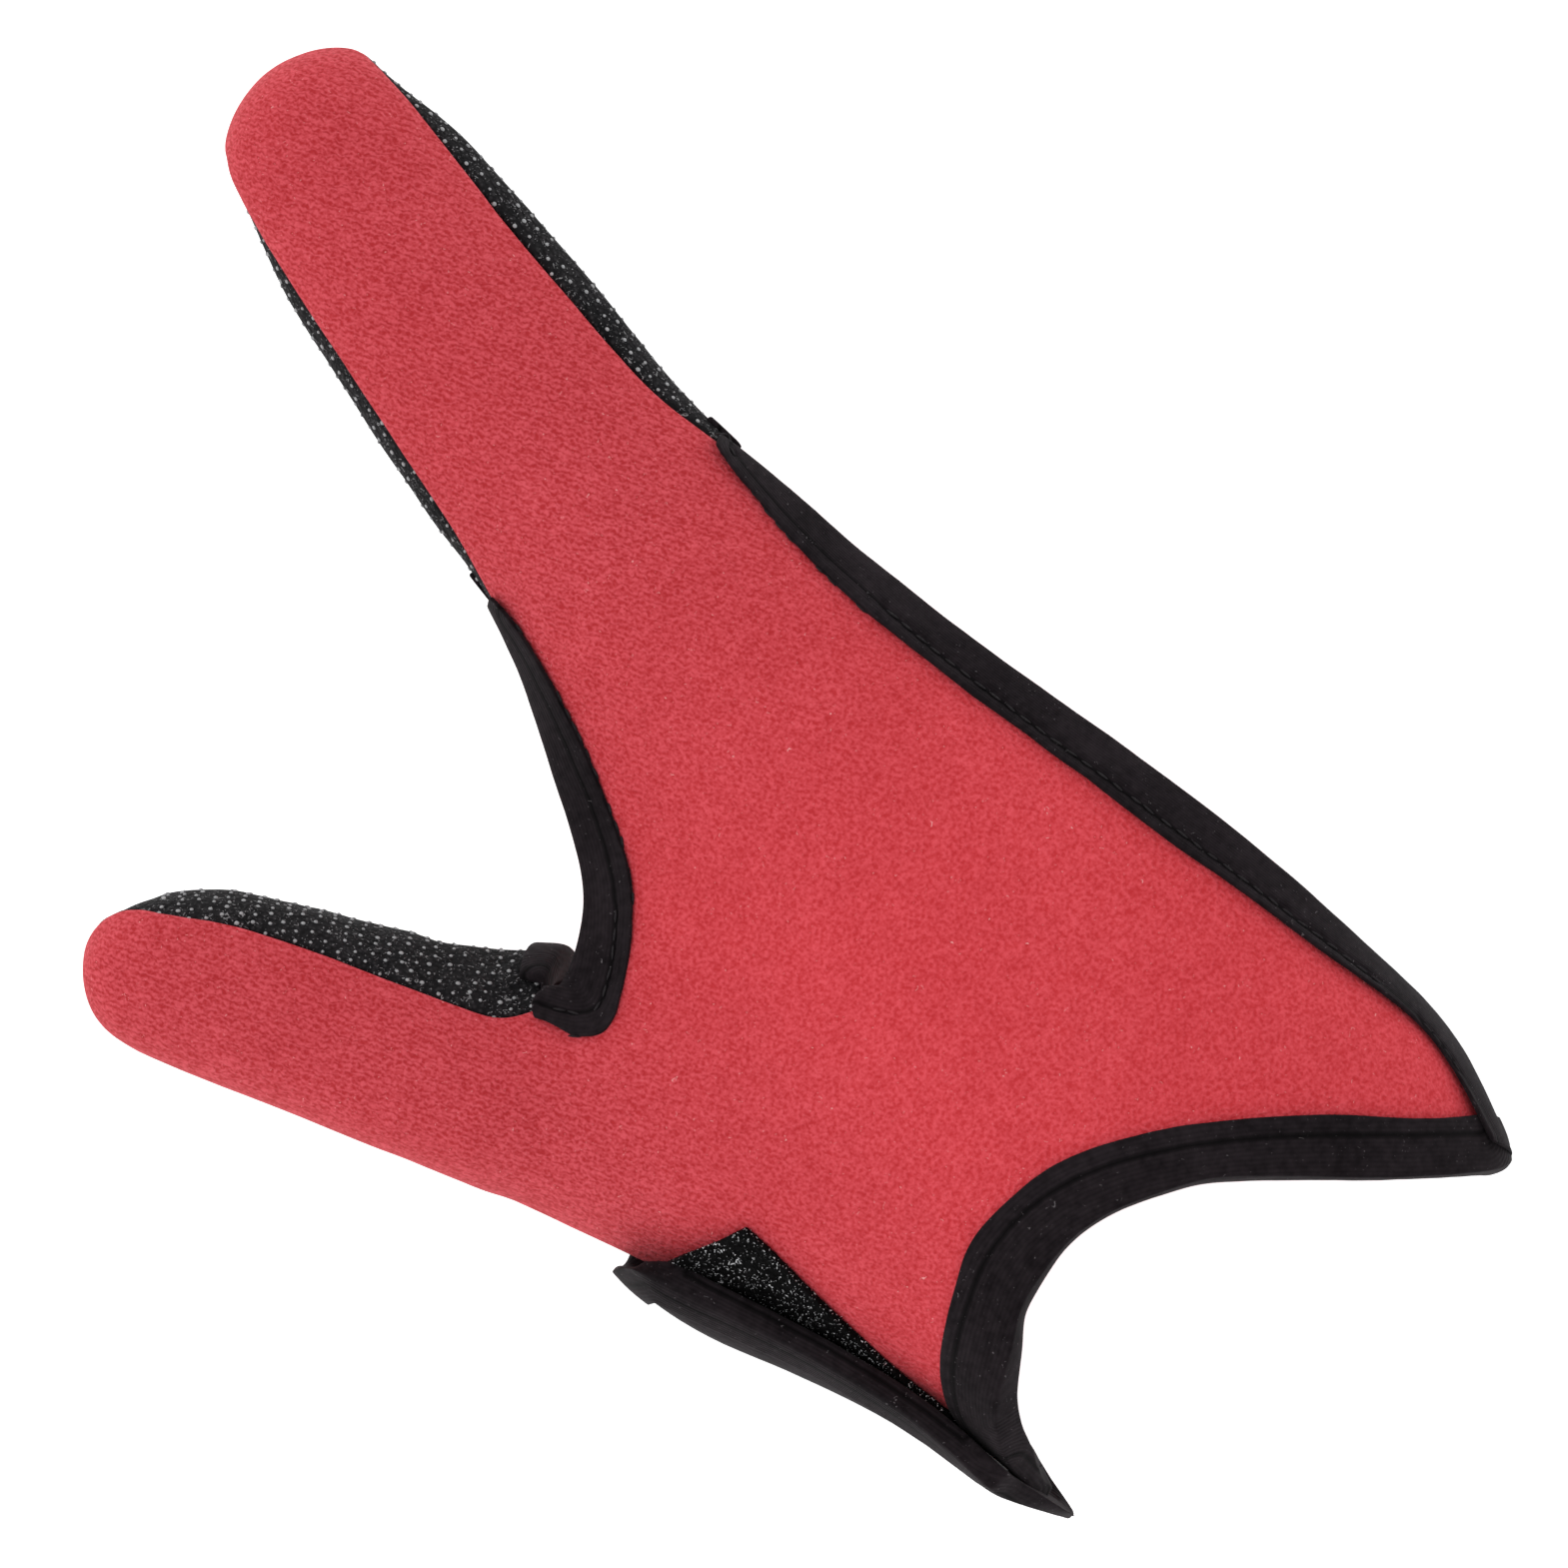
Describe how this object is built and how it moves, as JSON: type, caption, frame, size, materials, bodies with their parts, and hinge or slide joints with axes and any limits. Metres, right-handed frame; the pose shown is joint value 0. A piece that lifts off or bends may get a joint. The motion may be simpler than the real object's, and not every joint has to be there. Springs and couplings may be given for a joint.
{
  "type": "fishing glove for index finger and thumb",
  "caption": "Right-hand casting glove: red foam back over index finger, thumb and hand, dotted black grip undersides, bound edges and a hook-and-loop wrist strap.",
  "frame": {"origin": "centre of the bounding box on the surface that the glove lies on, palm side down", "axes": "+Y along the index finger, +X towards the little finger's side, +Z out of the back of the hand"},
  "size_m": [0.1404, 0.211, 0.0446],
  "materials": {
    "red_foam": "brushed jersey laminated to foam, matte",
    "grip_knit": "stretch knit with small pale grip dots",
    "binding_tape": "soft folded tape, matte",
    "strap_fabric": "matte",
    "loop_fabric": "brushed loops",
    "hook_fabric": "fine hooks"
  },
  "bodies": {
    "root": {"back_panel": "red_foam", "index_palm": "grip_knit", "thumb_palm": "grip_knit", "index_cuff": "binding_tape", "thumb_cuff": "binding_tape", "web_binding": "binding_tape", "outer_binding": "binding_tape", "wrist_binding": "binding_tape", "strap_binding": "binding_tape", "wrist_strap": "strap_fabric", "loop_patch": "loop_fabric", "hook_patch": "hook_fabric"}
  },
  "joints": []
}
